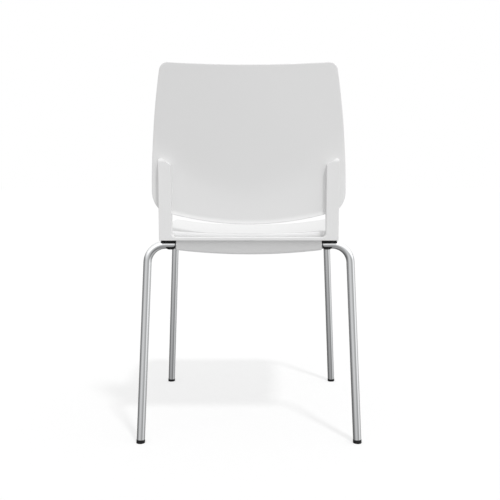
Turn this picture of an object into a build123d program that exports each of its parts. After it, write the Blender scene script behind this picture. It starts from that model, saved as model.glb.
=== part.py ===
from build123d import *
import os
from math import hypot, pi, radians, sin, tan

# Four-leg stacking chair. The front faces -Y, the sitter's left is +X and Z is up.
# The origin is on the floor, at the middle of the four feet. All sizes are in millimetres.

# ---- Leg frames ----
TUBE_D = 18.0
TUBE_WALL = 2.0
BEND_R = 40.0              # centreline radius of the tube's bends
TUBE_Z = 432.5             # centreline height of both cross tubes
REAR_FOOT_X = 238.0
REAR_FOOT_Y = 234.0
REAR_CORNER_X = 221.5      # where the leg's and the cross tube's lines meet
REAR_TUBE_Y = 189.0
FRONT_FOOT_X = 228.0
FRONT_FOOT_Y = -234.0
FRONT_CORNER_X = 207.5
FRONT_TUBE_Y = -209.0
RAIL_D = 16.0
RAIL_WALL = 1.5
RAIL_X = 138.0             # side rails, under the seat

# ---- Feet ----
FOOT_D = 19.0
FOOT_HEIGHT = 7.0          # along the leg, below the tube's end
FOOT_STEM_LENGTH = 22.0
FOOT_STEM_CLEARANCE = 0.1
FOOT_EDGE_R = 0.8
FOOT_STEM_CHAMFER = 1.0

# ---- Saddles: black clips between the cross tubes and the shells ----
SADDLE_WALL = 1.8
SADDLE_INNER_X = 160.0
SADDLE_PAD_OVERHANG = 12.0 # beyond the clip, which ends where the tube's bend starts
SADDLE_PAD_HEIGHT = 2.5    # from the tube's top to the part that it carries
SADDLE_PAD_DEPTH = 24.0
SADDLE_TIP_HEIGHT = 1.0    # thickness of the pad's outer end
SADDLE_CORNER_SHARE = 0.42 # radius of the clip's lower corners, as a share of its length
SADDLE_WINDOW_UP = 7.6     # top of the window above the tube's centreline
SADDLE_WINDOW_DOWN = 6.0   # its bottom below the centreline

# ---- Back support: two uprights and a crossbar in one moulding ----
SUPPORT_REAR_Y = 219.0
CROSSBAR_HEIGHT = 7.0
CROSSBAR_DEPTH = 47.0
UPRIGHT_INNER_X = 166.5
UPRIGHT_OUTER_X = 193.5
UPRIGHT_DEPTH = 21.7
UPRIGHT_TOP_Z = 624.0      # at the outer side
UPRIGHT_TOP_DROP = 17.0    # the inner side is this much lower
UPRIGHT_NOSE_HEIGHT = 12.0
UPRIGHT_TOP_R = 5.0
UPRIGHT_CORNER_R = 9.0     # between an upright and the crossbar
SUPPORT_EDGE_R = 1.3

# ---- Back panel ----
PANEL_WALL = 4.5
PANEL_TOP_Z = 811.8        # at the middle
PANEL_TOP_RISE = 7.7       # higher than that at the corners
PANEL_BOTTOM_Z = 478.4     # at the middle
PANEL_BOTTOM_RISE = 21.7   # higher than that at the reference width
PANEL_REF_X = 165.0
PANEL_HALF_WIDTH = 209.3   # at its widest
PANEL_WIDEST_Z = 545.0
PANEL_SIDE_R = 1480.0
PANEL_TOP_CORNER_R = 16.0
PANEL_LOW_CORNER_R = 44.0
PANEL_REAR_Y = 205.0       # rear face, below the lumbar bend
PANEL_LEAN = 0.145         # slope above the lumbar bend
LUMBAR_Z = 546.0
LUMBAR_RISE = 69.0         # the bend is higher at the reference width, so the face above it is bowed
LUMBAR_SOFTNESS = 25.0
LIP_HEIGHT = 10.5
LIP_FLARE = 3.2

# ---- Seat shell ----
SEAT_WALL = 3.2
SEAT_REAR_Y = 197.0
SEAT_FRONT_Y = -236.0
SEAT_REAR_HALF_WIDTH = 193.5
SEAT_MID_HALF_WIDTH = 206.0
SEAT_FRONT_HALF_WIDTH = 200.0
SEAT_FRONT_CORNER_R = 48.0
SEAT_REAR_CORNER_R = 22.0
SEAT_REAR_Z = 457.8        # top face at the middle of the rear edge
SEAT_REAR_RISE = 8.6       # at the rear corners
SEAT_TROUGH_DROP = 16.0    # the middle is lower than the rear edge
SEAT_FRONT_RISE = 10.0     # at the front corners
SEAT_SIDE_BULGE = 12.0     # the side edges rise by this much more at mid depth
SEAT_LIP_DROP = 23.0       # the front edge rolls down by this much
SEAT_LIP_LENGTH = 62.0
SEAT_TROUGH_POWER = 0.9    # higher powers make a narrower trough, side rise or lip
SEAT_SIDE_POWER = 2.4
SEAT_LIP_POWER = 2.2
SKIRT_WALL = 3.0
SKIRT_FRONT_Z = 430.0

# ---- Under-seat cover ----
COVER_WALL = 2.0
COVER_HALF_WIDTH = 158.6
COVER_BOTTOM_Z = 412.0     # at the middle
COVER_END_RISE = 9.5
COVER_GAP = 1.5            # round the cross tubes
COVER_EDGE_R = 5.0
COVER_SLOT_CLEARANCE = 0.4
COVER_TOP_GAP = 0.5

# ---- Fasteners ----
FRAME_SCREW_X = 112.0
FRAME_SCREW_D = 6.0
REAR_SCREW_LENGTH = 32.0
FRONT_SCREW_LENGTH = 24.0
FRAME_HEAD_D = 10.5
FRAME_HEAD_HEIGHT = 3.2
INSERT_WALL = 1.2
INSERT_END_GAP = 0.5       # from a screw's tip to the end of its insert or hole
INSERT_LENGTH = 5.0
BOSS_D = 20.0
BOSS_TUBE_OVERLAP = 5.0    # how far a boss reaches down beside the tube
COVER_SCREW_X = 60.0
COVER_SCREW_YS = (-130.0, -10.0, 110.0)
COVER_SCREW_D = 3.5
COVER_SCREW_LENGTH = 13.0
COVER_HEAD_D = 7.5
COVER_HEAD_HEIGHT = 1.2
POST_D = 9.0
POST_GAP = 0.1             # between a post and the cover's floor
BACK_SCREW_X = 181.0
BACK_SCREW_ZS = (532.0, 584.0)
BACK_SCREW_D = 4.0
BACK_SCREW_LENGTH = 10.0
BACK_HEAD_D = 7.5
BACK_HEAD_HEIGHT = 2.2
BACK_INSERT_LENGTH = 6.0
BACK_INSERT_RECESS = 0.3    # below the panel's rear face
CAP_D = 13.0
CAP_HEIGHT = 1.4
CAP_EDGE_SHARE = 0.6       # radius of a cap's edge, as a share of its height
CAP_SEAT = 0.1             # between a cap and the panel's face
HOLE_CLEARANCE = 0.4
SOCKET_DEPTH = 0.4         # a screw's drive recess, as a share of its head height
SOCKET_WIDTH = 0.36        # the recess's corner radius, as a share of the screw's diameter

TUBE_R = TUBE_D / 2
TUBE_TOP_Z = TUBE_Z + TUBE_R
CROSSBAR_Z = TUBE_TOP_Z + SADDLE_PAD_HEIGHT
CROSSBAR_TOP_Z = CROSSBAR_Z + CROSSBAR_HEIGHT
REAR_LEG = (REAR_FOOT_X, REAR_FOOT_Y, REAR_CORNER_X, REAR_TUBE_Y)
FRONT_LEG = (FRONT_FOOT_X, FRONT_FOOT_Y, FRONT_CORNER_X, FRONT_TUBE_Y)
FAR = 1000.0               # longer than the chair
THROUGH = 100.0            # longer than any wall
OVERLAP = 1.0              # how far a cut or a join reaches past a face
SURFACE_TOL = 0.02


def mirrored_pair(shape):
    """Return the left piece and its mirror image."""
    return shape, shape.mirror(Plane.YZ)


def bar_x(x0, x1, y, z, radius):
    """A round bar along X."""
    bar = Cylinder(radius, x1 - x0, align=(Align.CENTER, Align.CENTER, Align.MIN))
    return Pos(x0, y, z) * Rot(0, 90, 0) * bar


def block(x0, x1, y0, y1, z0, z1):
    """A box between two corners."""
    box = Box(x1 - x0, y1 - y0, z1 - z0)
    return Pos((x0 + x1) / 2, (y0 + y1) / 2, (z0 + z1) / 2) * box


def upright_rod(x, y, z0, z1, diameter):
    """A round rod along Z."""
    rod = Cylinder(diameter / 2, z1 - z0, align=(Align.CENTER, Align.CENTER, Align.MIN))
    return Pos(x, y, z0) * rod


# ---- Surfaces ----
def lumbar_z(x):
    return LUMBAR_Z + LUMBAR_RISE * (x / PANEL_REF_X) ** 2


def panel_bottom_z(x):
    return PANEL_BOTTOM_Z + PANEL_BOTTOM_RISE * (x / PANEL_REF_X) ** 2


def panel_rear_y(x, z):
    """Y of the panel's rear face, without its lip."""
    above = z - lumbar_z(x)
    lean = PANEL_LEAN * (above + hypot(above, LUMBAR_SOFTNESS)) / 2
    return PANEL_REAR_Y + lean


def lip_y(height):
    """How far the lower lip flares to the rear, at a height above the bottom edge."""
    return LIP_FLARE * max(0.0, 1.0 - height / LIP_HEIGHT) ** 2


def panel_face(with_lip):
    """The panel's rear face, a little larger than its outline."""
    reach = PANEL_HALF_WIDTH + 10.0
    columns = 17
    lifts = [-3.0, 0.0, 3.0, 6.0, 9.0, 13.0, 20.0] + [32.0 + 16.0 * i for i in range(21)]
    rows = []
    for i in range(columns):
        x = reach * (2.0 * i / (columns - 1) - 1.0)
        edge = panel_bottom_z(x)
        span = (PANEL_TOP_Z + PANEL_TOP_RISE + 8.0 - edge) / lifts[-1]
        row = []
        for lift in lifts:
            height = lift * (1.0 if lift < 0 else 1.0 + (span - 1.0) * lift / lifts[-1])
            y = panel_rear_y(x, edge + height) + (lip_y(height) if with_lip else 0.0)
            row.append(Vector(x, y, edge + height))
        rows.append(row)
    return Face.make_surface_from_array_of_points(rows, tol=SURFACE_TOL, min_deg=3, max_deg=5)


def seat_z(x, y):
    """Height of the seat's top face."""
    along = (y - SEAT_FRONT_Y) / (SEAT_REAR_Y - SEAT_FRONT_Y)
    trough = SEAT_TROUGH_DROP * sin(pi * min(1.0, max(0.0, along))) ** SEAT_TROUGH_POWER
    side = SEAT_REAR_RISE * along + (SEAT_FRONT_RISE + 4.0 * SEAT_SIDE_BULGE * along) * (1.0 - along)
    edge = side * (abs(x) / SEAT_FRONT_HALF_WIDTH) ** SEAT_SIDE_POWER
    rolled = max(0.0, SEAT_FRONT_Y + SEAT_LIP_LENGTH - y) / SEAT_LIP_LENGTH
    return SEAT_REAR_Z - trough + edge - SEAT_LIP_DROP * rolled**SEAT_LIP_POWER


def seat_face(drop=0.0):
    """The seat's top face, lowered by drop, a little larger than its outline."""
    columns = 17
    stations = 25
    reach = SEAT_MID_HALF_WIDTH + 10.0
    start = SEAT_FRONT_Y - 8.0
    length = SEAT_REAR_Y + 8.0 - start
    rows = []
    for i in range(columns):
        x = reach * (2.0 * i / (columns - 1) - 1.0)
        ys = [start + length * j / (stations - 1) for j in range(stations)]
        rows.append([Vector(x, y, seat_z(x, y) - drop) for y in ys])
    return Face.make_surface_from_array_of_points(rows, tol=SURFACE_TOL, min_deg=3, max_deg=5)


# ---- Outlines ----
def panel_outline():
    """The panel's outline as seen from behind, as a face in the XZ plane at y = 0."""
    side_z = panel_bottom_z(PANEL_HALF_WIDTH)
    top_z = PANEL_TOP_Z + PANEL_TOP_RISE
    top_sag = PANEL_SIDE_R - (PANEL_SIDE_R**2 - (top_z - PANEL_WIDEST_Z) ** 2) ** 0.5
    low_sag = PANEL_SIDE_R - (PANEL_SIDE_R**2 - (PANEL_WIDEST_Z - side_z) ** 2) ** 0.5
    top = (PANEL_HALF_WIDTH - top_sag, top_z)
    low = (PANEL_HALF_WIDTH - low_sag, side_z)
    with BuildSketch(Plane.XZ) as sketch:
        with BuildLine():
            ThreePointArc((-low[0], low[1]), (0, PANEL_BOTTOM_Z), low)
            ThreePointArc(low, (PANEL_HALF_WIDTH, PANEL_WIDEST_Z), top)
            ThreePointArc(top, (0, PANEL_TOP_Z), (-top[0], top[1]))
            ThreePointArc((-top[0], top[1]), (-PANEL_HALF_WIDTH, PANEL_WIDEST_Z), (-low[0], low[1]))
        make_face()
        corners = sketch.vertices()
        fillet(corners.filter_by(lambda v: v.Y > PANEL_WIDEST_Z), PANEL_TOP_CORNER_R)
        corners = sketch.vertices()
        fillet(corners.filter_by(lambda v: v.Y < side_z + 1.0), PANEL_LOW_CORNER_R)
    return sketch.sketch


def seat_outline(inset=0.0):
    """The seat's outline in plan, as a face in the XY plane."""
    rear = (SEAT_REAR_HALF_WIDTH - inset, SEAT_REAR_Y - inset)
    middle = (SEAT_MID_HALF_WIDTH - inset, (SEAT_REAR_Y + SEAT_FRONT_Y) / 2)
    front = (SEAT_FRONT_HALF_WIDTH - inset, SEAT_FRONT_Y + inset)
    with BuildSketch() as sketch:
        with BuildLine():
            Line((-rear[0], rear[1]), rear)
            ThreePointArc(rear, middle, front)
            Line(front, (-front[0], front[1]))
            ThreePointArc((-front[0], front[1]), (-middle[0], middle[1]), (-rear[0], rear[1]))
        make_face()
        fillet(sketch.vertices().filter_by(lambda v: v.Y > 0), SEAT_REAR_CORNER_R - inset)
        fillet(sketch.vertices().filter_by(lambda v: v.Y < front[1] + 1.0), SEAT_FRONT_CORNER_R - inset)
    return sketch.sketch


# ---- Leg frames, rails and feet ----
def leg_direction(foot, corner):
    """Unit vector up a leg from its foot."""
    return (Vector(*corner) - Vector(*foot)).normalized()


def leg_frame(foot_x, foot_y, corner_x, tube_y):
    """An inverted U of tube, standing on two feet, drilled for the frame screws."""
    foot = Vector(foot_x, foot_y, 0)
    corner = Vector(corner_x, tube_y, TUBE_Z)
    start = foot + leg_direction(foot, corner) * FOOT_HEIGHT
    points = [start, corner, Vector(-corner.X, corner.Y, corner.Z), Vector(-start.X, start.Y, start.Z)]
    path = FilletPolyline(*points, radius=BEND_R)
    plane = Plane(origin=start, z_dir=leg_direction(foot, corner))
    tube = sweep(plane * Circle(TUBE_R), path=path)
    tube -= sweep(plane * Circle(TUBE_R - TUBE_WALL), path=path)
    for x in (-FRAME_SCREW_X, FRAME_SCREW_X):
        hole = FRAME_SCREW_D + HOLE_CLEARANCE
        tube -= upright_rod(x, tube_y, TUBE_Z - TUBE_D, TUBE_Z + TUBE_D, hole)
    return tube


def side_rail():
    """A tube between the two cross tubes, coped to fit them."""
    length = REAR_TUBE_Y - FRONT_TUBE_Y
    rail = Cylinder(RAIL_D / 2, length) - Cylinder(RAIL_D / 2 - RAIL_WALL, length)
    rail = Pos(RAIL_X, (REAR_TUBE_Y + FRONT_TUBE_Y) / 2, TUBE_Z) * Rot(90, 0, 0) * rail
    for y in (REAR_TUBE_Y, FRONT_TUBE_Y):
        rail -= bar_x(RAIL_X - RAIL_D, RAIL_X + RAIL_D, y, TUBE_Z, TUBE_R)
    return rail


def foot(foot_x, foot_y, corner_x, tube_y):
    """A glide with a stem that plugs the tube's end, cut flat at the floor."""
    base = Vector(foot_x, foot_y, 0)
    up = leg_direction(base, Vector(corner_x, tube_y, TUBE_Z))
    plane = Plane(origin=base, z_dir=up)
    lift = (Align.CENTER, Align.CENTER, Align.MIN)
    cup = Pos(0, 0, -FOOT_HEIGHT) * Cylinder(FOOT_D / 2, 2 * FOOT_HEIGHT, align=lift)
    cup = fillet(cup.edges().filter_by(GeomType.CIRCLE).sort_by(Axis.Z)[-1:], FOOT_EDGE_R)
    stem_r = TUBE_R - TUBE_WALL - FOOT_STEM_CLEARANCE
    stem = Pos(0, 0, FOOT_HEIGHT - OVERLAP) * Cylinder(stem_r, FOOT_STEM_LENGTH + OVERLAP, align=lift)
    stem = chamfer(stem.edges().sort_by(Axis.Z)[-1:], FOOT_STEM_CHAMFER)
    piece = plane * (cup + stem)
    return piece & block(-FAR, FAR, -FAR, FAR, 0, FAR)


# ---- Saddles ----
def bend_start_x(foot_x, foot_y, corner_x, tube_y):
    """Where a cross tube stops being straight."""
    up = leg_direction(Vector(foot_x, foot_y, 0), Vector(corner_x, tube_y, TUBE_Z))
    turn = Vector(-1, 0, 0).get_angle(up)
    return corner_x - BEND_R * tan(radians(turn) / 2)


def saddle_pad(x0, x1, pad_end, tube_y):
    """The pad on top of a clip, thinner towards its outer end."""
    with BuildPart() as pad:
        with BuildSketch(Plane.XZ.offset(-tube_y)):
            with BuildLine():
                Polyline(
                    (x0, TUBE_TOP_Z - SADDLE_WALL),
                    (x1, TUBE_TOP_Z - SADDLE_WALL),
                    (pad_end, CROSSBAR_Z - SADDLE_TIP_HEIGHT),
                    (pad_end, CROSSBAR_Z),
                    (x0, CROSSBAR_Z),
                    close=True,
                )
            make_face()
        extrude(amount=SADDLE_PAD_DEPTH / 2, both=True)
    return pad.part


def saddle(leg, outwards):
    """A clip round the cross tube, with a window towards outwards (1 rear, -1 front) and a pad on top."""
    tube_y = leg[3]
    x0 = SADDLE_INNER_X
    x1 = bend_start_x(*leg)
    outer = TUBE_R + SADDLE_WALL
    low_z = TUBE_Z - outer
    with BuildSketch(Plane.XZ) as side:
        with Locations(((x0 + x1) / 2, (low_z + CROSSBAR_Z) / 2)):
            Rectangle(x1 - x0, CROSSBAR_Z - low_z)
        fillet(side.vertices().filter_by(lambda v: v.Y < TUBE_Z), SADDLE_CORNER_SHARE * (x1 - x0))
    clip = bar_x(x0, x1, tube_y, TUBE_Z, outer) & extrude(side.sketch, amount=FAR, both=True)
    top_z = TUBE_Z + SADDLE_WINDOW_UP
    bottom_z = TUBE_Z - SADDLE_WINDOW_DOWN
    end_r = (top_z - bottom_z) / 2
    round_x = x0 + SADDLE_WALL + end_r
    y0, y1 = sorted((tube_y, tube_y + outwards * 2.0 * outer))
    clip -= block(round_x, x1 + OVERLAP, y0, y1, bottom_z, top_z)
    round_end = Rot(90, 0, 0) * Cylinder(end_r, y1 - y0)
    clip -= Pos(round_x, (y0 + y1) / 2, (top_z + bottom_z) / 2) * round_end
    pad_end = x1 + SADDLE_PAD_OVERHANG
    pad = saddle_pad(x0, x1, pad_end, tube_y)
    return (clip + pad) - bar_x(x0, pad_end, tube_y, TUBE_Z, TUBE_R)


def boss_on_tube(x, tube_y, top_z):
    """A screw boss that sits over the cross tube."""
    boss = upright_rod(x, tube_y, TUBE_TOP_Z - BOSS_TUBE_OVERLAP, top_z, BOSS_D)
    return boss - bar_x(x - BOSS_D, x + BOSS_D, tube_y, TUBE_Z, TUBE_R)


# ---- Back ----
def back_screw_plane(x, z):
    """A plane on the panel's rear face at a back screw, with its Z pointing to the rear."""
    return Plane(origin=(x, panel_rear_y(x, z), z), z_dir=(0, 1, 0))


def back_screw_planes():
    return [back_screw_plane(side * BACK_SCREW_X, z) for side in (1, -1) for z in BACK_SCREW_ZS]


def rod_on(plane, start, end, diameter):
    """A round rod along a plane's normal."""
    rod = Cylinder(diameter / 2, end - start, align=(Align.CENTER, Align.CENTER, Align.MIN))
    return plane * Pos(0, 0, start) * rod


def back_panel():
    """The moulded back, a curved sheet with a flared lower lip."""
    sheet = extrude(panel_face(True), amount=PANEL_WALL, dir=(0, -1, 0))
    panel = sheet & extrude(panel_outline(), amount=FAR, both=True)
    for plane in back_screw_planes():
        panel -= rod_on(plane, -THROUGH, OVERLAP, BACK_SCREW_D + HOLE_CLEARANCE)
        panel -= rod_on(plane, -THROUGH, -PANEL_WALL / 2, BACK_HEAD_D + HOLE_CLEARANCE)
    return panel


def panel_space():
    """The room that the panel takes, and all that is in front of it."""
    front = extrude(panel_face(True), amount=THROUGH, dir=(0, -1, 0))
    return front & extrude(panel_outline(), amount=FAR, both=True)


def support_outline():
    """The U of the uprights and the crossbar, as seen from behind."""
    top_in = UPRIGHT_TOP_Z - UPRIGHT_TOP_DROP
    half = [
        (UPRIGHT_OUTER_X, CROSSBAR_Z),
        (UPRIGHT_OUTER_X, UPRIGHT_TOP_Z),
        (UPRIGHT_INNER_X, top_in),
        (UPRIGHT_INNER_X, CROSSBAR_TOP_Z),
    ]
    other_half = [(-x, z) for x, z in reversed(half)]
    with BuildSketch(Plane.XZ) as sketch:
        with BuildLine():
            Polyline(*half, *other_half, close=True)
        make_face()
        fillet(sketch.vertices().filter_by(lambda v: v.Y > top_in - 1.0), UPRIGHT_TOP_R)
        inside = sketch.vertices().filter_by(lambda v: abs(v.Y - CROSSBAR_TOP_Z) < 1.0)
        fillet(inside, UPRIGHT_CORNER_R)
    return sketch.sketch


def support_side():
    """The side view of the uprights on their crossbar, with noses that curve in to the panel."""
    front_y = SUPPORT_REAR_Y - UPRIGHT_DEPTH
    nose_y = panel_rear_y(UPRIGHT_OUTER_X, UPRIGHT_TOP_Z) - OVERLAP
    top_z = UPRIGHT_TOP_Z + OVERLAP
    with BuildSketch(Plane.YZ) as sketch:
        with BuildLine():
            outline = Polyline(
                (SUPPORT_REAR_Y, UPRIGHT_TOP_Z - UPRIGHT_NOSE_HEIGHT),
                (SUPPORT_REAR_Y, CROSSBAR_Z),
                (SUPPORT_REAR_Y - CROSSBAR_DEPTH, CROSSBAR_Z),
                (SUPPORT_REAR_Y - CROSSBAR_DEPTH, CROSSBAR_TOP_Z),
                (front_y, CROSSBAR_TOP_Z),
                (front_y, top_z),
                (nose_y, top_z),
            )
            Spline(outline @ 1, outline @ 0, tangents=[(0.5, -1.0), (0.0, -1.0)])
        make_face()
    return sketch.sketch


def back_support(panel_room):
    """Two uprights on a crossbar that lies on the rear saddles, with bosses for the frame screws."""
    support = extrude(support_outline(), amount=FAR, both=True)
    support &= extrude(support_side(), amount=FAR, both=True)
    rear = support.faces().filter_by(Axis.Y).sort_by(Axis.Y)[-1]
    nose_z = UPRIGHT_TOP_Z - UPRIGHT_NOSE_HEIGHT
    support = fillet(rear.edges().filter_by(lambda e: e.center().Z < nose_z - 1.0), SUPPORT_EDGE_R)
    support -= panel_room
    for x in (-FRAME_SCREW_X, FRAME_SCREW_X):
        support += boss_on_tube(x, REAR_TUBE_Y, CROSSBAR_Z + OVERLAP)
        hole = FRAME_SCREW_D + HOLE_CLEARANCE
        support -= upright_rod(x, REAR_TUBE_Y, TUBE_Z, CROSSBAR_TOP_Z + OVERLAP, hole)
    for plane in back_screw_planes():
        insert_end = BACK_INSERT_RECESS + BACK_INSERT_LENGTH
        support -= rod_on(plane, -OVERLAP, insert_end, BACK_SCREW_D + 2 * INSERT_WALL)
        support -= rod_on(plane, -OVERLAP, BACK_SCREW_LENGTH, BACK_SCREW_D)
    return support


# ---- Seat ----
def frame_screw_rows():
    """Tube Y, lower end of the seat's bosses, and screw length, for the rear and front screws."""
    rear = (REAR_TUBE_Y, CROSSBAR_TOP_Z, REAR_SCREW_LENGTH)
    front = (FRONT_TUBE_Y, TUBE_TOP_Z - BOSS_TUBE_OVERLAP, FRONT_SCREW_LENGTH)
    return [rear, front]


def insert_span(screw_length):
    """Lower and upper end of a threaded insert that holds a frame screw."""
    top = TUBE_Z - TUBE_R + screw_length + INSERT_END_GAP
    return top - INSERT_LENGTH, top


def seat_body(face, outline):
    """All that is under the seat's top face, inside an outline."""
    return extrude(face, amount=THROUGH, dir=(0, 0, -1)) & extrude(outline, amount=FAR)


def skirt_room():
    """The room above the skirt's lower edge, which runs down from the rear to the front."""
    with BuildPart() as room:
        with BuildSketch(Plane.YZ):
            with BuildLine():
                Polyline(
                    (SEAT_REAR_Y + OVERLAP, CROSSBAR_TOP_Z),
                    (SEAT_FRONT_Y + SEAT_LIP_LENGTH, CROSSBAR_TOP_Z),
                    (SEAT_FRONT_Y - OVERLAP, SKIRT_FRONT_Z),
                    (SEAT_FRONT_Y - OVERLAP, FAR),
                    (SEAT_REAR_Y + OVERLAP, FAR),
                    close=True,
                )
            make_face()
        extrude(amount=FAR, both=True)
    return room.part


def seat_shell():
    """A dished shell with a skirt, screw bosses, cover posts and rests for the front saddles."""
    top = seat_face()
    outline = seat_outline()
    shell = extrude(top, amount=SEAT_WALL, dir=(0, 0, -1)) & extrude(outline, amount=FAR)
    under = seat_body(top, outline)
    skirt = (under - extrude(seat_outline(SKIRT_WALL), amount=FAR)) & skirt_room()
    seat = shell + skirt
    for tube_y, boss_z, length in frame_screw_rows():
        for x in (-FRAME_SCREW_X, FRAME_SCREW_X):
            boss = upright_rod(x, tube_y, boss_z, FAR, BOSS_D) & under
            seat += boss - bar_x(x - BOSS_D, x + BOSS_D, tube_y, TUBE_Z, TUBE_R)
            low, high = insert_span(length)
            seat -= upright_rod(x, tube_y, low, high, FRAME_SCREW_D + 2 * INSERT_WALL)
            seat -= upright_rod(x, tube_y, boss_z - OVERLAP, low, FRAME_SCREW_D + HOLE_CLEARANCE)
    pad_y = SADDLE_PAD_DEPTH / 2
    pad_end = bend_start_x(*FRONT_LEG) + SADDLE_PAD_OVERHANG
    for side in (-1, 1):
        x0, x1 = sorted((side * SADDLE_INNER_X, side * pad_end))
        rest = block(x0, x1, FRONT_TUBE_Y - pad_y, FRONT_TUBE_Y + pad_y, CROSSBAR_Z, FAR)
        seat += rest & under
        for y in COVER_SCREW_YS:
            post_z = cover_floor_z(COVER_SCREW_X + POST_D / 2) + POST_GAP
            post = upright_rod(side * COVER_SCREW_X, y, post_z, FAR, POST_D)
            hole_top = cover_screw_z() + COVER_SCREW_LENGTH
            seat += post & under
            seat -= upright_rod(side * COVER_SCREW_X, y, COVER_BOTTOM_Z, hole_top, COVER_SCREW_D)
    return seat


# ---- Under-seat cover ----
def cover_bottom_z(x):
    return COVER_BOTTOM_Z + COVER_END_RISE * (x / COVER_HALF_WIDTH) ** 2


def cover_floor_z(x):
    """Inside face of the cover's floor."""
    return cover_bottom_z(x) + COVER_WALL


def cover_screw_z():
    """Where the heads of the cover screws bear."""
    return cover_floor_z(COVER_SCREW_X) - COVER_WALL / 2


def cover_prism(inset):
    """The cover's outside, or its inside when inset is the wall."""
    half = COVER_HALF_WIDTH - inset
    end_z = cover_bottom_z(COVER_HALF_WIDTH) + inset
    top_z = TUBE_TOP_Z + 2 * TUBE_R
    rear_y = REAR_TUBE_Y + TUBE_R + COVER_GAP + COVER_WALL - inset
    front_y = FRONT_TUBE_Y - TUBE_R - COVER_GAP - COVER_WALL + inset
    with BuildPart() as prism:
        with BuildSketch(Plane.XZ.offset(-rear_y)):
            with BuildLine():
                ThreePointArc((-half, end_z), (0, COVER_BOTTOM_Z + inset), (half, end_z))
                Polyline((half, end_z), (half, top_z), (-half, top_z), (-half, end_z))
            make_face()
        extrude(amount=rear_y - front_y)
    return prism.part


def under_seat_cover():
    """A tray that closes the space round the cross tubes and rails."""
    outside = cover_prism(0.0)
    floor_edges = outside.edges().filter_by(lambda e: e.center().Z < TUBE_Z and abs(e.center().X) < 1.0)
    outside = fillet(floor_edges, COVER_EDGE_R)
    cover = outside - cover_prism(COVER_WALL)
    above_seat = extrude(seat_face(SEAT_WALL + COVER_TOP_GAP), amount=THROUGH, dir=(0, 0, 1))
    cover -= above_seat
    crossbar_y = SUPPORT_REAR_Y - CROSSBAR_DEPTH - COVER_TOP_GAP
    cover -= block(-FAR, FAR, crossbar_y, FAR, CROSSBAR_Z - COVER_TOP_GAP, FAR)
    cover -= block(-FAR, FAR, -FAR, SEAT_FRONT_Y + SEAT_LIP_LENGTH / 2, CROSSBAR_Z - COVER_TOP_GAP, FAR)
    for tube_y in (REAR_TUBE_Y, FRONT_TUBE_Y):
        slot = TUBE_R + COVER_SLOT_CLEARANCE
        cover -= bar_x(-FAR, FAR, tube_y, TUBE_Z, slot)
        cover -= block(-FAR, FAR, tube_y - slot, tube_y + slot, TUBE_Z, FAR)
    for side in (-1, 1):
        for y in COVER_SCREW_YS:
            x = side * COVER_SCREW_X
            cover -= upright_rod(x, y, 0, CROSSBAR_Z, COVER_SCREW_D + HOLE_CLEARANCE)
            cover -= upright_rod(x, y, 0, cover_screw_z(), COVER_HEAD_D + HOLE_CLEARANCE)
    return cover


# ---- Fasteners ----
def screw(plane, diameter, length, head_d, head_height):
    """A button-head screw with a hexagon socket. The head bears on the plane, below it."""
    head = rod_on(plane, -head_height, 0, head_d)
    body = head + rod_on(plane, 0, length, diameter)
    socket = extrude(RegularPolygon(diameter * SOCKET_WIDTH, 6), amount=head_height * SOCKET_DEPTH)
    return body - plane * Pos(0, 0, -head_height) * socket


def ring(plane, start, end, outer_d, inner_d):
    return rod_on(plane, start, end, outer_d) - rod_on(plane, start, end, inner_d)


def frame_screws():
    screws = []
    for tube_y, _, length in frame_screw_rows():
        for x in (-FRAME_SCREW_X, FRAME_SCREW_X):
            plane = Plane((x, tube_y, TUBE_Z - TUBE_R))
            screws.append(screw(plane, FRAME_SCREW_D, length, FRAME_HEAD_D, FRAME_HEAD_HEIGHT))
    return Compound(children=screws)


def seat_inserts():
    inserts = []
    for tube_y, _, length in frame_screw_rows():
        low, high = insert_span(length)
        for x in (-FRAME_SCREW_X, FRAME_SCREW_X):
            plane = Plane((x, tube_y, low))
            inserts.append(ring(plane, 0, high - low, FRAME_SCREW_D + 2 * INSERT_WALL, FRAME_SCREW_D))
    return Compound(children=inserts)


def cover_screws():
    places = [(side * COVER_SCREW_X, y) for side in (-1, 1) for y in COVER_SCREW_YS]
    planes = [Plane((x, y, cover_screw_z())) for x, y in places]
    screws = [screw(p, COVER_SCREW_D, COVER_SCREW_LENGTH, COVER_HEAD_D, COVER_HEAD_HEIGHT) for p in planes]
    return Compound(children=screws)


def back_screws():
    screws = []
    for plane in back_screw_planes():
        seat_plane = plane.offset(-PANEL_WALL / 2)
        length = BACK_SCREW_LENGTH + PANEL_WALL / 2 - INSERT_END_GAP
        screws.append(screw(seat_plane, BACK_SCREW_D, length, BACK_HEAD_D, BACK_HEAD_HEIGHT))
    return Compound(children=screws)


def back_inserts():
    start = BACK_INSERT_RECESS
    end = start + BACK_INSERT_LENGTH
    outer = BACK_SCREW_D + 2 * INSERT_WALL
    rings = [ring(p, start, end, outer, BACK_SCREW_D) for p in back_screw_planes()]
    return Compound(children=rings)


def back_screw_caps():
    """Domed caps over the back screws' heads, on the panel's front face."""
    caps = []
    for plane in back_screw_planes():
        face = -PANEL_WALL - CAP_SEAT
        cap = rod_on(plane, face - CAP_HEIGHT, face, CAP_D)
        outer_edge = cap.edges().filter_by(GeomType.CIRCLE).sort_by(Axis.Y)[:1]
        caps.append(fillet(outer_edge, CAP_HEIGHT * CAP_EDGE_SHARE))
    return Compound(children=caps)


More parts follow.
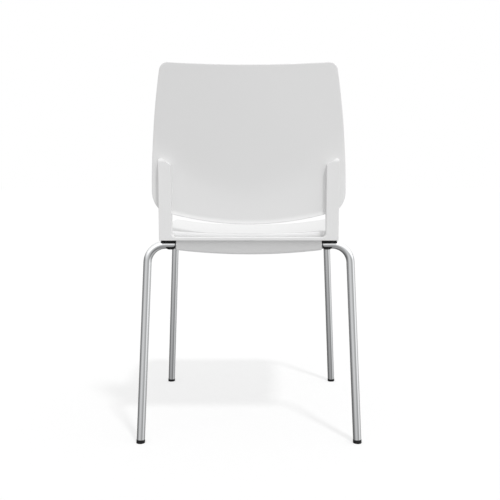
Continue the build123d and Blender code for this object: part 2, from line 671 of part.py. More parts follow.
# ---- Assembly ----
def build_nodes():
    nodes = {}
    for end, leg, outwards in (("rear", REAR_LEG, 1), ("front", FRONT_LEG, -1)):
        nodes[f"{end}_leg_frame"] = leg_frame(*leg)
        nodes[f"{end}_left_foot"], nodes[f"{end}_right_foot"] = mirrored_pair(foot(*leg))
        clips = mirrored_pair(saddle(leg, outwards))
        nodes[f"{end}_left_saddle"], nodes[f"{end}_right_saddle"] = clips
    nodes["left_side_rail"], nodes["right_side_rail"] = mirrored_pair(side_rail())
    nodes["back_support"] = back_support(panel_space())
    nodes["back_panel"] = back_panel()
    nodes["seat_shell"] = seat_shell()
    nodes["under_seat_cover"] = under_seat_cover()
    nodes["frame_screws"] = frame_screws()
    nodes["seat_inserts"] = seat_inserts()
    nodes["cover_screws"] = cover_screws()
    nodes["back_screws"] = back_screws()
    nodes["back_inserts"] = back_inserts()
    nodes["back_screw_caps"] = back_screw_caps()
    return nodes


os.makedirs("parts", exist_ok=True)
for name, shape in build_nodes().items():
    export_step(shape, f"parts/{name}.step")
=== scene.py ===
"""Stacking chair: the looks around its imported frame, laid out as an add-on and run as a script."""

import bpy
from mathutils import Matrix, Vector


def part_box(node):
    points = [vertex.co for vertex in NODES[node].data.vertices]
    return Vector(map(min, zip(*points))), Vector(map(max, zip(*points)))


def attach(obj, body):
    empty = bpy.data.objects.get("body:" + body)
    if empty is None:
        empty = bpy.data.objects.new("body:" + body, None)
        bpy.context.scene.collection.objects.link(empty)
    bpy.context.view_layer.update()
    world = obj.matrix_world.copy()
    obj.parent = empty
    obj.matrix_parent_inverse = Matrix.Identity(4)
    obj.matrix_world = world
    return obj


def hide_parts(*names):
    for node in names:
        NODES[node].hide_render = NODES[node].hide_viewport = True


bl_info = {
    "name": "Stacking Chair",
    "version": (1, 0, 0),
    "blender": (4, 5, 0),
    "location": "3D View > Sidebar > Chair",
    "description": "Builds a white moulded stacking chair with a chromed tube frame",
    "category": "Object",
}

from math import cos, hypot, pi, radians, sin, sqrt

import bmesh
import bpy
from bpy.props import FloatProperty, FloatVectorProperty, PointerProperty
from mathutils import Vector

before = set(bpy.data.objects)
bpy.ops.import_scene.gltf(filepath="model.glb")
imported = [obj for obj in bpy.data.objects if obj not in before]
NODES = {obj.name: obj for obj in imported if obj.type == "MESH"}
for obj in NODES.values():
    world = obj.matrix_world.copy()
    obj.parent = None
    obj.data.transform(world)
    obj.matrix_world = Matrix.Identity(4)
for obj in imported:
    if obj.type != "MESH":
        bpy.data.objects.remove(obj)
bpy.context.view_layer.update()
MM = 0.001

SHEET_COLUMNS = 96          # grid columns across the panel and the seat
SHARP_ANGLE = 35.0          # degrees past which an edge is shaded sharp
MERGE_DISTANCE = 0.02 * MM
REACH_ROUNDS = 16           # rounds that settle a row's half width on a curved outline
TROUGH_POWER = 0.9          # higher powers make a narrower trough, side rise or front roll
SIDE_POWER = 2.4
ROLL_POWER = 2.2
REST_SPINE = 5.0 * MM       # height of the rib that joins a rest's cross ribs
REST_RIBS = (-0.34, 0.0, 0.34)
REST_RIB_SHARE = 0.2        # a rib's thickness, as a share of the rest's length
REST_EDGE = 0.6 * MM
KEY_TRAVEL = (0.304, -0.536, -1.0)
FLOOR_REACH = 30.0          # half the floor's side, in metres


def length(name, description, millimetres):
    """A length property with its default in millimetres."""
    return FloatProperty(name=name, description=description, default=millimetres * MM, unit="LENGTH")


def factor(name, description, default, low=0.0, high=1.0):
    """A plain number property."""
    return FloatProperty(name=name, description=description, default=default, min=low, max=high)


def colour(name, description, default):
    """A linear colour property."""
    return FloatVectorProperty(
        name=name, description=description, default=default, subtype="COLOR", size=3, min=0.0, max=1.0
    )


# ---- Settings ----
class ChairFinish(bpy.types.PropertyGroup):
    """Colours and gloss of the chair's materials."""

    shell: colour("Shell", "Moulded polypropylene of the seat and back", (0.80, 0.80, 0.80))
    shell_roughness: factor("Shell roughness", "Sheen of the moulded shells", 0.5)
    shell_grain: length("Shell grain", "Size of the fine texture on the mould", 0.55)
    chrome: colour("Chrome", "Plating of the leg tubes", (0.80, 0.81, 0.82))
    chrome_roughness: factor("Chrome roughness", "Blur of the plating's reflections", 0.05)
    nylon: colour("Nylon", "Black saddles and feet", (0.012, 0.012, 0.013))
    nylon_roughness: factor("Nylon roughness", "Sheen of the black mouldings", 0.38)
    zinc: colour("Zinc", "Side rails and screws", (0.56, 0.57, 0.58))
    brass: colour("Brass", "Threaded inserts", (0.72, 0.55, 0.28))


class ChairBack(bpy.types.PropertyGroup):
    """Sizes of the back panel."""

    wall: length("Wall", "Thickness of the panel", 4.5)
    rear_y: length("Rear face", "Y of the rear face, below the lumbar bend", 205.0)
    edge_radius: length("Edge radius", "Rounding of the panel's edges", 1.9)
    lean: factor("Lean", "Slope of the face above the lumbar bend", 0.145)
    lumbar_z: length("Lumbar height", "Height of the lumbar bend at the middle", 546.0)
    lumbar_rise: length("Lumbar rise", "How much higher the bend is at the reference width", 69.0)
    lumbar_soft: length("Lumbar softness", "Length of the bend", 25.0)
    ref_x: length("Reference width", "Where the rises are measured, from the middle", 165.0)
    bottom_rise: length("Bottom rise", "How much higher the bottom edge is at the reference width", 21.7)
    top_z: length("Top edge", "Height of the top edge at the middle", 811.8)
    top_rise: length("Top rise", "How much higher the top edge is at the corners", 7.7)
    top_ref_x: length("Top width", "Where the top rise is measured, from the middle", 184.0)
    widest_z: length("Widest height", "Where the panel is widest", 545.0)
    side_radius: length("Side radius", "Radius of the bowed side edges", 1480.0)
    top_corner: length("Top corner", "Radius of the upper corners", 16.0)
    low_corner_x: length("Lower corner width", "Width of the lower corners' curve", 24.5)
    low_corner_z: length("Lower corner height", "Height of the lower corners' curve", 34.0)
    lip_height: length("Lip height", "Height of the flared lower lip", 10.5)
    lip_flare: length("Lip flare", "How far the lip's edge stands to the rear", 3.2)


class ChairSeat(bpy.types.PropertyGroup):
    """Sizes of the seat shell."""

    wall: length("Wall", "Thickness of the shell", 3.0)
    edge_radius: length("Edge radius", "Rounding between the top and the skirt", 4.0)
    rear_half: length("Rear half width", "Half width at the rear edge", 193.5)
    mid_half: length("Middle half width", "Half width at mid depth", 206.0)
    front_half: length("Front half width", "Half width at the front edge", 200.0)
    front_corner: length("Front corner", "Radius of the front corners in plan", 48.0)
    rear_corner: length("Rear corner", "Radius of the rear corners in plan", 22.0)
    rear_z: length("Rear height", "Top face at the middle of the rear edge", 457.8)
    trough: length("Trough", "How much lower the middle is", 16.0)
    rear_rise: length("Rear rise", "Rise of the side edges at the rear", 8.6)
    front_rise: length("Front rise", "Rise of the side edges at the front", 10.0)
    bulge: length("Side bulge", "Further rise of the side edges at mid depth", 12.0)
    lip_drop: length("Front drop", "How far the front edge rolls down", 23.0)
    lip_length: length("Front roll", "Length of the rolled front", 62.0)
    skirt_z: length("Skirt", "Lower edge of the skirt at the rear and sides", 451.0)
    skirt_front_z: length("Front skirt", "Lower edge of the skirt at the front", 430.0)


class ChairStage(bpy.types.PropertyGroup):
    """Camera, light and floor."""

    camera_x: length("Camera X", "Sideways place of the camera", -22.0)
    camera_y: length("Camera Y", "Distance of the camera behind the origin", 1720.0)
    camera_z: length("Camera Z", "Height of the camera", 581.6)
    pitch: FloatProperty(
        name="Pitch", description="Downward tilt of the camera", default=radians(6.0), subtype="ANGLE"
    )
    lens: factor("Lens", "Focal length in millimetres", 50.4, 10.0, 200.0)
    shift: factor("Shift", "Sideways shift of the frame", -0.018, -1.0, 1.0)
    key: factor("Key light", "Strength of the sun", 1.1, 0.0, 20.0)
    key_size: FloatProperty(
        name="Key size", description="Angle of the sun's disc", default=radians(6.0), subtype="ANGLE"
    )
    fill: factor("Fill light", "Strength of the white surroundings at the horizon", 1.08, 0.0, 20.0)
    fill_up: factor("Fill from above", "How much stronger the surroundings are overhead than level", -0.38, -20.0, 20.0)
    fill_side: factor("Fill from the side", "How much stronger they are towards -X", 0.17, -20.0, 20.0)
    floor: colour("Floor", "Studio floor", (0.36, 0.36, 0.36))
    floor_glow: factor("Floor glow", "Even light of the floor itself", 0.61)
    floor_bounce: factor("Floor bounce", "Share of the light that the floor gives back to the chair", 0.52)


SETTINGS = {
    "chair_finish": ChairFinish,
    "chair_back": ChairBack,
    "chair_seat": ChairSeat,
    "chair_stage": ChairStage,
}


def settings(name):
    return getattr(bpy.context.scene, name)


# ---- Node helpers ----
def new_material(name):
    """An empty node material with a shader and the object's own coordinates."""
    material = bpy.data.materials.new(name)
    material.use_nodes = True
    tree = material.node_tree
    shader = tree.nodes["Principled BSDF"]
    place = tree.nodes.new("ShaderNodeTexCoord")
    return material, tree, shader, place.outputs["Object"]


def node(tree, kind, inputs=None, **fields):
    """Adds a node, sets its fields and input values, and links the inputs that are sockets."""
    made = tree.nodes.new(kind)
    for key, value in fields.items():
        setattr(made, key, value)
    for key, value in (inputs or {}).items():
        if isinstance(value, bpy.types.NodeSocket):
            tree.links.new(value, made.inputs[key])
        else:
            made.inputs[key].default_value = value
    return made


def group_tree(name, inputs, outputs):
    """An empty shader node group with named sockets, given as name to (type, default)."""
    tree = bpy.data.node_groups.new(name, "ShaderNodeTree")
    for label, (kind, default) in inputs.items():
        socket = tree.interface.new_socket(label, in_out="INPUT", socket_type=kind)
        if default is not None:
            socket.default_value = default
    for label, kind in outputs.items():
        tree.interface.new_socket(label, in_out="OUTPUT", socket_type=kind)
    return tree, tree.nodes.new("NodeGroupInput"), tree.nodes.new("NodeGroupOutput")


FLOAT = "NodeSocketFloat"
VECTOR = "NodeSocketVector"
COLOUR = "NodeSocketColor"


def mould_grain_group():
    """Fine spark-eroded grain of a mould, with faint flow clouds in the colour and the gloss."""
    inputs = {
        "Place": (VECTOR, None),
        "Colour": (COLOUR, (0.8, 0.8, 0.8, 1.0)),
        "Grain Scale": (FLOAT, 1800.0),
        "Grain Height": (FLOAT, 0.1),
        "Cloud Amount": (FLOAT, 0.02),
        "Roughness": (FLOAT, 0.4),
    }
    outputs = {"Colour": COLOUR, "Roughness": FLOAT, "Normal": VECTOR}
    tree, source, sink = group_tree("mould_grain", inputs, outputs)
    get = source.outputs
    grain = node(
        tree, "ShaderNodeTexNoise", {"Vector": get["Place"], "Scale": get["Grain Scale"], "Detail": 2.0}
    )
    orange_peel = node(tree, "ShaderNodeTexNoise", {"Vector": get["Place"], "Scale": 55.0, "Detail": 1.0})
    cloud = node(tree, "ShaderNodeTexNoise", {"Vector": get["Place"], "Scale": 9.0, "Detail": 3.0})
    low = node(tree, "ShaderNodeMath", {0: 1.0, 1: get["Cloud Amount"]}, operation="SUBTRACT")
    shade = node(
        tree, "ShaderNodeMapRange", {"Value": cloud.outputs["Fac"], "To Min": low.outputs[0], "To Max": 1.0}
    ).outputs["Result"]
    tinted = node(
        tree, "ShaderNodeVectorMath", {0: get["Colour"], "Scale": shade}, operation="SCALE"
    )
    gloss = node(
        tree, "ShaderNodeMapRange", {"Value": cloud.outputs["Fac"], "To Min": -0.05, "To Max": 0.05}
    )
    rough = node(tree, "ShaderNodeMath", {0: get["Roughness"], 1: gloss.outputs["Result"]}, operation="ADD")
    fine = node(
        tree,
        "ShaderNodeBump",
        {"Height": grain.outputs["Fac"], "Strength": get["Grain Height"], "Distance": 0.0002},
    )
    broad = node(
        tree,
        "ShaderNodeBump",
        {
            "Height": orange_peel.outputs["Fac"],
            "Strength": 0.03,
            "Distance": 0.001,
            "Normal": fine.outputs["Normal"],
        },
    )
    tree.links.new(tinted.outputs["Vector"], sink.inputs["Colour"])
    tree.links.new(rough.outputs[0], sink.inputs["Roughness"])
    tree.links.new(broad.outputs["Normal"], sink.inputs["Normal"])
    return tree


def metal_wear_group():
    """Faint wipe marks and draw lines on a metal, as roughness and a fine bump."""
    inputs = {
        "Place": (VECTOR, None),
        "Roughness": (FLOAT, 0.1),
        "Wipe Amount": (FLOAT, 0.05),
        "Line Scale": (VECTOR, (400.0, 400.0, 8.0)),
        "Line Height": (FLOAT, 0.02),
    }
    outputs = {"Roughness": FLOAT, "Normal": VECTOR}
    tree, source, sink = group_tree("metal_wear", inputs, outputs)
    get = source.outputs
    wipes = node(tree, "ShaderNodeTexNoise", {"Vector": get["Place"], "Scale": 22.0, "Detail": 5.0})
    spread = node(
        tree, "ShaderNodeMath", {0: wipes.outputs["Fac"], 1: get["Wipe Amount"]}, operation="MULTIPLY"
    )
    rough = node(tree, "ShaderNodeMath", {0: get["Roughness"], 1: spread.outputs[0]}, operation="ADD")
    drawn = node(
        tree, "ShaderNodeVectorMath", {0: get["Place"], 1: get["Line Scale"]}, operation="MULTIPLY"
    )
    lines = node(
        tree, "ShaderNodeTexNoise", {"Vector": drawn.outputs["Vector"], "Scale": 1.0, "Detail": 3.0}
    )
    bump = node(
        tree,
        "ShaderNodeBump",
        {"Height": lines.outputs["Fac"], "Strength": get["Line Height"], "Distance": 0.0002},
    )
    tree.links.new(rough.outputs[0], sink.inputs["Roughness"])
    tree.links.new(bump.outputs["Normal"], sink.inputs["Normal"])
    return tree


def shared_group(name, build):
    return bpy.data.node_groups.get(name) or build()


def use_group(tree, group, **inputs):
    """Places a node group, with its inputs named in words joined by underscores."""
    made = tree.nodes.new("ShaderNodeGroup")
    made.node_tree = group
    for key, value in inputs.items():
        socket = made.inputs[key.replace("_", " ")]
        if isinstance(value, bpy.types.NodeSocket):
            tree.links.new(value, socket)
        else:
            socket.default_value = value
    return made


def feed(tree, made, shader, **links):
    """Links a group's outputs to a shader's inputs, given as output=input."""
    for output, target in links.items():
        tree.links.new(made.outputs[output], shader.inputs[target])


def mix(tree, share, first, second):
    """Mixes two shaders, with all of the second where share is 1."""
    return node(tree, "ShaderNodeMixShader", {0: share, 1: first.outputs[0], 2: second.outputs[0]})


# ---- Materials ----
def moulded(name, tint, roughness, grain, height, clouds):
    """A moulded plastic with a fine grain."""
    material, tree, shader, place = new_material(name)
    shader.inputs["Specular IOR Level"].default_value = 0.3
    group = shared_group("mould_grain", mould_grain_group)
    made = use_group(
        tree,
        group,
        Place=place,
        Colour=(*tint, 1.0),
        Grain_Scale=1.0 / grain,
        Grain_Height=height,
        Cloud_Amount=clouds,
        Roughness=roughness,
    )
    feed(tree, made, shader, Colour="Base Color", Roughness="Roughness", Normal="Normal")
    return material


def plated(name, tint, roughness, wipes, line_scale, line_height):
    """A metal with faint wipe marks and draw lines."""
    material, tree, shader, place = new_material(name)
    shader.inputs["Base Color"].default_value = (*tint, 1.0)
    shader.inputs["Metallic"].default_value = 1.0
    group = shared_group("metal_wear", metal_wear_group)
    made = use_group(
        tree,
        group,
        Place=place,
        Roughness=roughness,
        Wipe_Amount=wipes,
        Line_Scale=line_scale,
        Line_Height=line_height,
    )
    feed(tree, made, shader, Roughness="Roughness", Normal="Normal")
    return material


def finish_material(name):
    """One of the chair's five finishes, built on its first use."""
    found = bpy.data.materials.get(name)
    if found:
        return found
    finish = settings("chair_finish")
    if name == "white_polypropylene":
        return moulded(name, finish.shell, finish.shell_roughness, finish.shell_grain, 0.12, 0.015)
    if name == "black_nylon":
        return moulded(name, finish.nylon, finish.nylon_roughness, 0.4 * MM, 0.25, 0.25)
    if name == "chrome_plate":
        return plated(name, finish.chrome, finish.chrome_roughness, 0.05, (350.0, 350.0, 12.0), 0.015)
    if name == "zinc_plate":
        return plated(name, finish.zinc, 0.3, 0.25, (900.0, 40.0, 900.0), 0.2)
    if name == "turned_brass":
        return plated(name, finish.brass, 0.25, 0.15, (200.0, 200.0, 2500.0), 0.3)
    raise ValueError(f"there is no finish named {name}")


def paint(obj, name):
    """Gives an object one finish."""
    obj.data.materials.clear()
    obj.data.materials.append(finish_material(name))


# ---- Mesh helpers ----
def mapped_grid(columns, rows, place):
    """A grid whose vertices are put where place(u, row) says, with u from -1 to 1 and whole rows."""
    bm = bmesh.new()
    bmesh.ops.create_grid(bm, x_segments=columns, y_segments=rows, size=1.0)
    for vert in bm.verts:
        row = round((vert.co.y + 1.0) / 2.0 * rows)
        vert.co = place(vert.co.x, row)
    return bm


def make_piece(name, bm, finish, replaces=()):
    """Turns a bmesh into an object with a finish, riding on the frame in place of its CAD nodes."""
    bmesh.ops.recalc_face_normals(bm, faces=bm.faces[:])
    mesh = bpy.data.meshes.new(name)
    bm.to_mesh(mesh)
    bm.free()
    obj = bpy.data.objects.new(name, mesh)
    bpy.context.scene.collection.objects.link(obj)
    mesh.shade_smooth()
    mesh.set_sharp_from_angle(angle=radians(SHARP_ANGLE))
    paint(obj, finish)
    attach(obj, "root")
    if replaces:
        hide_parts(*replaces)
    return obj


def edge_frames(bm, down):
    """Numbers the open edge's vertices and gives, by number, each one's place and outward direction.

    The outward direction lies in the surface, and is one unit long seen along down.
    """
    bm.normal_update()
    rim = bm.verts.layers.int.new("rim")
    edges = [e for e in bm.edges if e.is_boundary]
    bm.verts.index_update()
    verts = sorted({v for e in edges for v in e.verts}, key=lambda v: v.index)
    frames = {}
    for number, vert in enumerate(verts, start=1):
        vert[rim] = number
        inner = sum((f.calc_center_median() for f in vert.link_faces), Vector()) / len(vert.link_faces)
        ends = [e.other_vert(vert).co for e in vert.link_edges if e.is_boundary]
        side = (ends[1] - ends[0]).cross(down).normalized()
        if side.dot(vert.co - inner) < 0.0:
            side.negate()
        slope = vert.normal.dot(side) / vert.normal.dot(down)
        frames[number] = (vert.co.copy(), side - down * slope)
    return rim, edges, frames


def roll_edge(bm, rim, edges, frames, down, profile):
    """Carries an open edge along a profile of (outward, down) steps, and returns the last edge."""
    for outward, depth in profile:
        made = bmesh.ops.extrude_edge_only(bm, edges=edges)["geom"]
        edges = [g for g in made if isinstance(g, bmesh.types.BMEdge) and g.is_boundary]
        for vert in (g for g in made if isinstance(g, bmesh.types.BMVert)):
            place, out = frames[vert[rim]]
            vert.co = place + out * outward + down * depth
    return edges


def quarter(radius, steps):
    """A quarter turn from a face down to a wall, as (outward, down) steps."""
    angles = [pi / 2 * i / steps for i in range(1, steps + 1)]
    return [(radius * sin(a), radius * (1.0 - cos(a))) for a in angles]


def close_plate(bm, down, wall, radius, steps=5):
    """Makes a sheet into a plate of a given wall along down, with both its edges rounded."""
    sheet = bm.faces[:]
    rim, edges, frames = edge_frames(bm, down)
    copy = bmesh.ops.duplicate(bm, geom=bm.verts[:] + bm.edges[:] + sheet)["geom"]
    far_verts = [g for g in copy if isinstance(g, bmesh.types.BMVert)]
    far_faces = [g for g in copy if isinstance(g, bmesh.types.BMFace)]
    bmesh.ops.translate(bm, verts=far_verts, vec=down * wall)
    bmesh.ops.reverse_faces(bm, faces=far_faces)
    there = quarter(radius, steps)
    back = [(outward, wall - depth) for outward, depth in reversed(there[:-1])] + [(0.0, wall)]
    roll_edge(bm, rim, edges, frames, down, there + [(radius, wall - radius)] + back)
    bmesh.ops.remove_doubles(bm, verts=bm.verts[:], dist=MERGE_DISTANCE)


# ---- Panel ----
class PanelShape:
    """The back panel's surfaces and outline, worked out from its settings and its CAD box."""

    def __init__(self, inset):
        self.size = settings("chair_back")
        low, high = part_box("back_panel")
        self.inset = inset
        self.bottom = low.z
        self.half = high.x

    def bottom_z(self, x):
        return self.bottom + self.size.bottom_rise * (x / self.size.ref_x) ** 2

    def top_z(self, x):
        return self.size.top_z + self.size.top_rise * (x / self.size.top_ref_x) ** 2

    def rear_y(self, x, z):
        size = self.size
        above = z - size.lumbar_z - size.lumbar_rise * (x / size.ref_x) ** 2
        return size.rear_y + size.lean * (above + hypot(above, size.lumbar_soft)) / 2

    def lip_y(self, height):
        return self.size.lip_flare * max(0.0, 1.0 - height / self.size.lip_height) ** 2

    def half_width(self, x, z):
        """Half width at a height, less the corners' curves."""
        size = self.size
        rise = z - size.widest_z
        wide = self.half - size.side_radius + sqrt(size.side_radius**2 - rise**2) - self.inset
        share = 1.0 - (z - self.bottom_z(x) - self.inset) / size.low_corner_z
        if share > 0.0:
            wide -= size.low_corner_x * (1.0 - sqrt(max(0.0, 1.0 - share**2)))
        radius = size.top_corner - self.inset
        into = z - (self.top_z(x) - self.inset - radius)
        if into > 0.0:
            wide -= radius - sqrt(max(0.0, radius**2 - into**2))
        return wide

    def height(self, x, share):
        low = self.bottom_z(x) + self.inset
        return low + share * (self.top_z(x) - self.inset - low)

    def row_shares(self):
        """The grid rows' heights, as shares of the height, closer together at the corners and the lip."""
        size = self.size
        total = self.top_z(0.0) - self.bottom - 2 * self.inset
        quarter_steps = 12
        middle_steps = 56
        bends = [1.0 - cos(pi / 2 * i / quarter_steps) for i in range(quarter_steps + 1)]
        lip = [size.lip_height * share for share in (0.45, 0.6, 0.75, 0.9, 1.05)]
        low = sorted({size.low_corner_z * bend for bend in bends} | set(lip))
        radius = size.top_corner - self.inset
        high = [total - radius * bend for bend in reversed(bends)]
        gap = (high[0] - low[-1]) / middle_steps
        middle = [low[-1] + gap * i for i in range(1, middle_steps)]
        return [value / total for value in low + middle + high]

    def sheet(self, columns):
        """The rear face as a grid."""
        shares = self.row_shares()
        reaches = []
        for share in shares:
            reach = self.half
            for _ in range(REACH_ROUNDS):
                reach = self.half_width(reach, self.height(reach, share))
            reaches.append(reach)

        def place(u, row):
            x = u * reaches[row]
            z = self.height(x, shares[row])
            return Vector((x, self.rear_y(x, z) + self.lip_y(z - self.bottom_z(x)), z))

        return mapped_grid(columns, len(shares) - 1, place)


class CHAIR_OT_back_panel(bpy.types.Operator):
    """Moulds the back panel, with its lumbar bend, its flared lower lip and rounded edges"""

    bl_idname = "chair.back_panel"
    bl_label = "Back Panel"

    def execute(self, context):
        size = settings("chair_back")
        bm = PanelShape(size.edge_radius).sheet(SHEET_COLUMNS)
        close_plate(bm, Vector((0.0, -1.0, 0.0)), size.wall, size.edge_radius)
        make_piece("moulded_back", bm, "white_polypropylene", ["back_panel"])
        return {"FINISHED"}


# ---- Seat ----
class SeatShape:
    """The seat's surface and outline, worked out from its settings and its CAD box."""

    def __init__(self, inset):
        self.size = settings("chair_seat")
        low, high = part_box("seat_shell")
        self.inset = inset
        self.front = low.y
        self.rear = high.y

    def top_z(self, x, y):
        size = self.size
        along = (y - self.front) / (self.rear - self.front)
        trough = size.trough * sin(pi * min(1.0, max(0.0, along))) ** TROUGH_POWER
        rise = size.rear_rise * along + (size.front_rise + 4.0 * size.bulge * along) * (1.0 - along)
        edge = rise * (abs(x) / size.front_half) ** SIDE_POWER
        rolled = max(0.0, self.front + size.lip_length - y) / size.lip_length
        return size.rear_z - trough + edge - size.lip_drop * rolled**ROLL_POWER

    def side_x(self, y):
        """Half width of the bowed sides, without the corners' curves."""
        size = self.size
        middle = (self.front + self.rear) / 2
        half = (self.rear - self.front) / 2
        t = (y - middle) / half
        mean = (size.rear_half + size.front_half) / 2
        slope = (size.rear_half - size.front_half) / 2
        return mean + slope * t + (size.mid_half - mean) * (1.0 - t**2)

    def half_width(self, y):
        wide = self.side_x(y) - self.inset
        for corner, into in (
            (self.size.front_corner, self.front + self.size.front_corner - y),
            (self.size.rear_corner, y - self.rear + self.size.rear_corner),
        ):
            radius = corner - self.inset
            if into > 0.0:
                wide -= radius - sqrt(max(0.0, radius**2 - into**2))
        return wide

    def row_places(self):
        """Y of the grid's rows, closer together round the corners."""
        steps = 14
        bends = [1.0 - cos(pi / 2 * i / steps) for i in range(steps + 1)]
        front = [self.front + self.inset + (self.size.front_corner - self.inset) * b for b in bends]
        rear = [self.rear - self.inset - (self.size.rear_corner - self.inset) * b for b in reversed(bends)]
        middle_steps = 60
        gap = (rear[0] - front[-1]) / middle_steps
        return front + [front[-1] + gap * i for i in range(1, middle_steps)] + rear

    def sheet(self, columns):
        """The top face as a grid."""
        places = self.row_places()
        reaches = [self.half_width(y) for y in places]

        def place(u, row):
            x = u * reaches[row]
            return Vector((x, places[row], self.top_z(x, places[row])))

        return mapped_grid(columns, len(places) - 1, place)

    def skirt_bottom(self, y):
        """Lower edge of the skirt, which runs down to the front."""
        size = self.size
        share = max(0.0, self.front + size.lip_length - y) / size.lip_length
        return size.skirt_z + (size.skirt_front_z - size.skirt_z) * share


def add_wall(obj, thickness):
    """A live modifier that gives an open shell its wall, on the inside."""
    wall = obj.modifiers.new("wall", "SOLIDIFY")
    wall.thickness = thickness
    wall.offset = -1.0
    wall.use_even_offset = False


class CHAIR_OT_seat(bpy.types.Operator):
    """Moulds the dished seat, with its rolled front and its skirt"""

    bl_idname = "chair.seat"
    bl_label = "Seat"

    def execute(self, context):
        size = settings("chair_seat")
        shape = SeatShape(size.edge_radius)
        down = Vector((0.0, 0.0, -1.0))
        bm = shape.sheet(SHEET_COLUMNS)
        rim, edges, frames = edge_frames(bm, down)
        edges = roll_edge(bm, rim, edges, frames, down, quarter(size.edge_radius, 6))
        for share in (0.5, 1.0):
            made = bmesh.ops.extrude_edge_only(bm, edges=edges)["geom"]
            edges = [g for g in made if isinstance(g, bmesh.types.BMEdge) and g.is_boundary]
            for vert in (g for g in made if isinstance(g, bmesh.types.BMVert)):
                bottom = min(shape.skirt_bottom(vert.co.y), vert.co.z)
                vert.co.z += (bottom - vert.co.z) * share
        obj = make_piece("moulded_seat", bm, "white_polypropylene", ["seat_shell"])
        add_wall(obj, size.wall)
        self.rests(shape, size.wall)
        return {"FINISHED"}

    def rests(self, shape, wall):
        """Two ribbed blocks under the seat that stand on the front saddles."""
        bm = bmesh.new()
        for name in ("front_left_saddle", "front_right_saddle"):
            low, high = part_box(name)
            middle = (low + high) / 2
            size = high - low
            for share in REST_RIBS:
                x = middle.x + share * size.x
                made = bmesh.ops.create_cube(bm, size=1.0)["verts"]
                bmesh.ops.scale(bm, verts=made, vec=(size.x * REST_RIB_SHARE, size.y, REST_SPINE))
                bmesh.ops.translate(bm, verts=made, vec=(x, middle.y, high.z + REST_SPINE / 2))
                for vert in (v for v in made if v.co.z > high.z + REST_SPINE / 2):
                    vert.co.z = shape.top_z(vert.co.x, vert.co.y) - wall / 2
            made = bmesh.ops.create_cube(bm, size=1.0)["verts"]
            bmesh.ops.scale(bm, verts=made, vec=(size.x, size.y * REST_RIB_SHARE, REST_SPINE))
            bmesh.ops.translate(bm, verts=made, vec=(middle.x, middle.y, high.z + REST_SPINE / 2))
        bevel = {"offset": REST_EDGE, "segments": 2, "profile": 0.5, "affect": "EDGES", "material": -1}
        bmesh.ops.bevel(bm, geom=bm.edges[:], **bevel)
        make_piece("seat_rests", bm, "white_polypropylene")


# ---- CAD nodes that keep their shape ----
KEPT_NODES = {
    "chrome_plate": ["rear_leg_frame", "front_leg_frame"],
    "zinc_plate": ["left_side_rail", "right_side_rail", "frame_screws", "cover_screws", "back_screws"],
    "turned_brass": ["seat_inserts", "back_inserts"],
    "black_nylon": [
        f"{end}_{side}_{part}"
        for end in ("rear", "front")
        for side in ("left", "right")
        for part in ("foot", "saddle")
    ],
    "white_polypropylene": ["back_support", "under_seat_cover", "back_screw_caps"],
}


class CHAIR_OT_finish_frame(bpy.types.Operator):
    """Finishes the parts that keep their made shape"""

    bl_idname = "chair.finish_frame"
    bl_label = "Frame Finishes"

    def execute(self, context):
        for finish, names in KEPT_NODES.items():
            for name in names:
                paint(NODES[name], finish)
        return {"FINISHED"}


# ---- Stage ----
# Place round the chair, from 0 to 1, and how bright the wall is there.
STUDIO_WALLS = (
    (0.0, 0.5), (0.1, 0.55), (0.2, 0.7), (0.26, 1.05), (0.32, 1.15),
    (0.35, 0.75), (0.38, 0.42), (0.42, 0.46), (0.48, 0.6), (0.56, 0.76),
    (0.635, 0.7), (0.69, 0.4), (0.74, 0.3), (0.87, 0.24), (1.0, 0.4),
)


def studio_walls_group():
    """How bright the studio's walls are round the chair, for what mirrors them."""
    tree, source, sink = group_tree("studio_walls", {"Direction": (VECTOR, None)}, {"Strength": FLOAT})
    split = node(tree, "ShaderNodeSeparateXYZ", {"Vector": source.outputs["Direction"]})
    around = node(
        tree, "ShaderNodeMath", {0: split.outputs["X"], 1: split.outputs["Y"]}, operation="ARCTAN2"
    )
    share = node(tree, "ShaderNodeMapRange", {"Value": around.outputs[0], "From Min": -pi, "From Max": pi})
    ramp = node(tree, "ShaderNodeValToRGB", {"Fac": share.outputs["Result"]})
    stops = ramp.color_ramp.elements
    while len(stops) < len(STUDIO_WALLS):
        stops.new(0.5)
    for stop, (place, strength) in zip(stops, STUDIO_WALLS):
        stop.position = place
        stop.color = (strength, strength, strength, 1.0)
    tree.links.new(ramp.outputs["Color"], sink.inputs["Strength"])
    return tree


def stage_floor(stage):
    """A wide pale floor, clear from below. Mirrored rays pass it and see the studio's walls."""
    bm = bmesh.new()
    bmesh.ops.create_grid(bm, x_segments=1, y_segments=1, size=FLOOR_REACH)
    mesh = bpy.data.meshes.new("studio_floor")
    bm.to_mesh(mesh)
    bm.free()
    floor = bpy.data.objects.new("studio_floor", mesh)
    bpy.context.scene.collection.objects.link(floor)
    material = bpy.data.materials.new("studio_paper")
    material.use_nodes = True
    tree = material.node_tree
    tree.nodes.clear()
    path = node(tree, "ShaderNodeLightPath").outputs
    paper = node(tree, "ShaderNodeBsdfDiffuse", {"Color": (*stage.floor, 1.0)})
    glow = node(tree, "ShaderNodeEmission", {"Strength": stage.floor_glow})
    seen = node(tree, "ShaderNodeAddShader", {0: paper.outputs[0], 1: glow.outputs[0]})
    bounce = node(tree, "ShaderNodeBsdfDiffuse", {"Color": (*[stage.floor_bounce] * 3, 1.0)})
    clear = node(tree, "ShaderNodeBsdfTransparent")
    unseen = mix(tree, path["Is Glossy Ray"], bounce, clear)
    below = node(tree, "ShaderNodeNewGeometry").outputs["Backfacing"]
    from_above = mix(tree, path["Is Camera Ray"], unseen, seen)
    node(tree, "ShaderNodeOutputMaterial", {"Surface": mix(tree, below, from_above, clear).outputs[0]})
    mesh.materials.append(material)


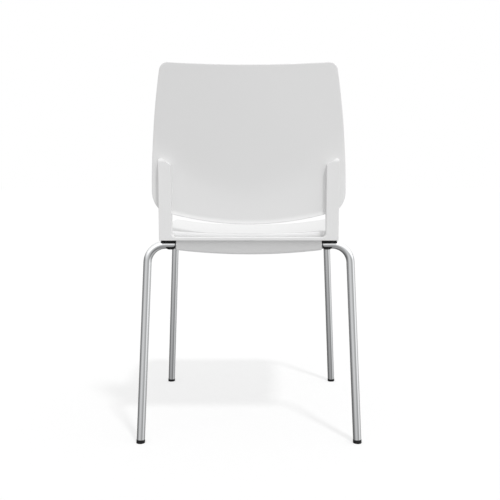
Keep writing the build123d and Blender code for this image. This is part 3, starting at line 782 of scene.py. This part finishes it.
def stage_world(stage):
    """Surroundings that are white to look at, light the chair unevenly, and mirror as the studio's walls."""
    world = bpy.data.worlds.new("studio")
    world.use_nodes = True
    tree = world.node_tree
    tree.nodes.clear()
    path = node(tree, "ShaderNodeLightPath").outputs
    direction = node(tree, "ShaderNodeTexCoord").outputs["Generated"]
    split = node(tree, "ShaderNodeSeparateXYZ", {"Vector": direction}).outputs
    up = node(
        tree, "ShaderNodeMath", {0: split["Z"], 1: stage.fill_up, 2: stage.fill}, operation="MULTIPLY_ADD"
    )
    side = node(
        tree,
        "ShaderNodeMath",
        {0: split["X"], 1: -stage.fill_side, 2: up.outputs[0]},
        operation="MULTIPLY_ADD",
    )
    lit = node(tree, "ShaderNodeBackground", {"Strength": side.outputs[0]})
    lit.inputs["Color"].default_value = (1.0, 1.0, 1.0, 1.0)
    walls = use_group(tree, shared_group("studio_walls", studio_walls_group), Direction=direction)
    ceiling = node(
        tree, "ShaderNodeMapRange", {"Value": split["Z"], "From Min": 0.15, "From Max": 0.45, "To Max": 0.8}
    )
    below = node(
        tree,
        "ShaderNodeMapRange",
        {"Value": split["Z"], "From Min": -0.4, "From Max": -0.08, "To Min": 0.52, "To Max": 1.0},
    )
    total = node(
        tree,
        "ShaderNodeMath",
        {0: walls.outputs["Strength"], 1: below.outputs["Result"], 2: ceiling.outputs["Result"]},
        operation="MULTIPLY_ADD",
    )
    mirrored = node(tree, "ShaderNodeBackground", {"Strength": total.outputs[0]})
    mirrored.inputs["Color"].default_value = (1.0, 1.0, 1.0, 1.0)
    seen = node(tree, "ShaderNodeBackground", {"Color": (1.0, 1.0, 1.0, 1.0), "Strength": 1.0})
    unseen = mix(tree, path["Is Glossy Ray"], lit, mirrored)
    mixed = mix(tree, path["Is Camera Ray"], unseen, seen)
    node(tree, "ShaderNodeOutputWorld", {"Surface": mixed.outputs[0]})
    bpy.context.scene.world = world


def sun(name, travel, strength, size):
    """A soft sun whose light travels along a direction."""
    light = bpy.data.lights.new(name, "SUN")
    light.energy = strength
    light.angle = size
    obj = bpy.data.objects.new(name, light)
    obj.rotation_mode = "QUATERNION"
    obj.rotation_quaternion = Vector(travel).to_track_quat("-Z", "Y")
    bpy.context.scene.collection.objects.link(obj)


class CHAIR_OT_stage(bpy.types.Operator):
    """Sets up the floor, the light and the camera"""

    bl_idname = "chair.stage"
    bl_label = "Stage"

    def execute(self, context):
        stage = settings("chair_stage")
        scene = bpy.context.scene
        stage_floor(stage)
        stage_world(stage)
        sun("key", KEY_TRAVEL, stage.key, stage.key_size)
        camera = bpy.data.cameras.new("camera")
        camera.lens = stage.lens
        camera.sensor_width = 36.0
        camera.shift_x = stage.shift
        obj = bpy.data.objects.new("camera", camera)
        obj.location = (stage.camera_x, stage.camera_y, stage.camera_z)
        obj.rotation_euler = (pi / 2 - stage.pitch, 0.0, pi)
        scene.collection.objects.link(obj)
        scene.camera = obj
        scene.view_settings.view_transform = "Standard"
        return {"FINISHED"}


# ---- Add-on ----
class CHAIR_PT_sidebar(bpy.types.Panel):
    """Lists the chair's settings and pieces"""

    bl_label = "Stacking Chair"
    bl_idname = "CHAIR_PT_sidebar"
    bl_space_type = "VIEW_3D"
    bl_region_type = "UI"
    bl_category = "Chair"

    def draw(self, context):
        for operator in OPERATORS:
            self.layout.operator(operator.bl_idname)
        for name, group in SETTINGS.items():
            column = self.layout.column(heading=group.__name__)
            for field in group.__annotations__:
                column.prop(getattr(context.scene, name), field)


OPERATORS = (CHAIR_OT_back_panel, CHAIR_OT_seat, CHAIR_OT_finish_frame, CHAIR_OT_stage)
CLASSES = (*SETTINGS.values(), *OPERATORS, CHAIR_PT_sidebar)


def register():
    for cls in CLASSES:
        bpy.utils.register_class(cls)
    for name, group in SETTINGS.items():
        setattr(bpy.types.Scene, name, PointerProperty(type=group))


def unregister():
    for name in SETTINGS:
        delattr(bpy.types.Scene, name)
    for cls in reversed(CLASSES):
        bpy.utils.unregister_class(cls)


def main():
    register()
    for operator in OPERATORS:
        category, name = operator.bl_idname.split(".")
        getattr(getattr(bpy.ops, category), name)()


if __name__ == "__main__":
    main()
